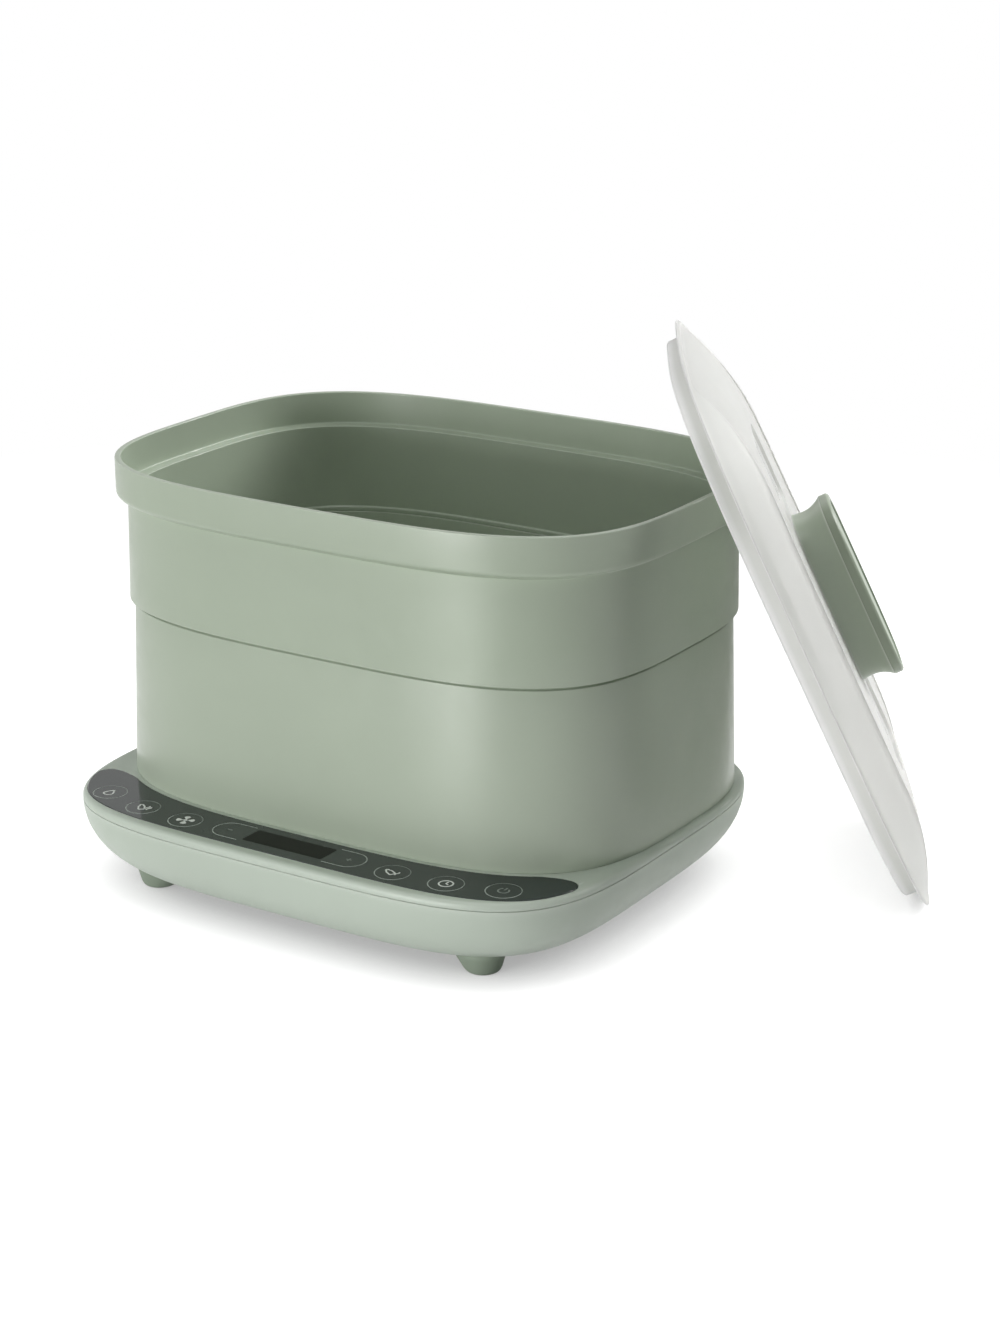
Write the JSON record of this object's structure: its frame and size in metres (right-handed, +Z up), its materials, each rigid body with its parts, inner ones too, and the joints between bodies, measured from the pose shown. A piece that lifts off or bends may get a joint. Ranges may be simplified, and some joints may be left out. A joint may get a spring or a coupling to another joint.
{
  "type": "bottle steriliser and dryer",
  "caption": "Counter-top steam steriliser and dryer with a heated base, stacked oval tub tiers, a bottle rack and a frosted lift-off lid leaning against the rim.",
  "frame": {"origin": "on the table plane under the middle of the tub outline", "axes": "+X to the right of the user, -Y towards the user (control panel), +Z up"},
  "size_m": [0.4061, 0.3424, 0.2748],
  "materials": {
    "pale_sage_plastic": "satin",
    "sage_plastic": "satin",
    "sage_cap": "satin",
    "foot_rubber": "matt",
    "panel_gloss": "gloss",
    "display_black": "gloss",
    "board_green": "lacquered",
    "steel": "brushed",
    "element_metal": "matt",
    "seal_rubber": "matt",
    "black_plastic": "matt",
    "grey_plastic": "matt",
    "white_plastic": "satin",
    "filter_media": "fibrous",
    "frosted_lid": "frosted, translucent"
  },
  "bodies": {
    "base": {"base_shell": "pale_sage_plastic", "base_deck": "pale_sage_plastic", "foot_front_left": "foot_rubber", "foot_front_right": "foot_rubber", "foot_back_left": "foot_rubber", "foot_back_right": "foot_rubber", "control_panel": "panel_gloss", "display_window": "display_black", "display_module": "black_plastic", "touch_board": "board_green", "heater_gasket": "seal_rubber", "heating_plate": "steel", "heating_element": "element_metal", "heater_bracket": "steel", "thermal_cutout": "black_plastic", "temperature_probe": "white_plastic", "fan_housing": "grey_plastic", "fan_cover": "grey_plastic", "fan_motor": "black_plastic", "air_duct": "grey_plastic", "air_heater": "element_metal", "outlet_grille": "sage_plastic", "filter_frame": "grey_plastic", "power_board": "board_green", "mains_inlet": "black_plastic", "base_screw_1": "steel", "base_screw_2": "steel", "base_screw_3": "steel", "base_screw_4": "steel"},
    "fan": {"impeller": "white_plastic"},
    "filter_drawer": {"filter_cover": "pale_sage_plastic", "filter_element": "filter_media"},
    "lower_tier": {"lower_tub": "sage_plastic"},
    "rack": {"bottle_rack": "white_plastic"},
    "upper_tier": {"upper_tub": "sage_plastic"},
    "lid": {"lid_shell": "frosted_lid", "lid_handle": "sage_plastic", "handle_cap": "sage_cap", "handle_screw_1": "steel", "handle_screw_2": "steel"}
  },
  "joints": [
    {"name": "impeller_spin", "type": "hinge", "parent": "base", "child": "fan", "pos_m": [0.08, 0.012, 0.028], "axis": [0, 0, 1], "continuous": true},
    {"name": "filter_pull", "type": "slide", "parent": "base", "child": "filter_drawer", "axis": [0, 1, 0], "range_m": [0, 0.045]},
    {"name": "lower_tier_lift", "type": "slide", "parent": "base", "child": "lower_tier", "axis": [0, 0, 1], "range_m": [0, 0.08]},
    {"name": "rack_lift", "type": "slide", "parent": "lower_tier", "child": "rack", "axis": [0, 0, 1], "range_m": [0, 0.14]},
    {"name": "upper_tier_lift", "type": "slide", "parent": "lower_tier", "child": "upper_tier", "axis": [0, 0, 1], "range_m": [0, 0.1]},
    {"name": "lid_lift", "type": "slide", "parent": "upper_tier", "child": "lid", "axis": [0, 0, 1], "range_m": [0, 0.26]}
  ]
}
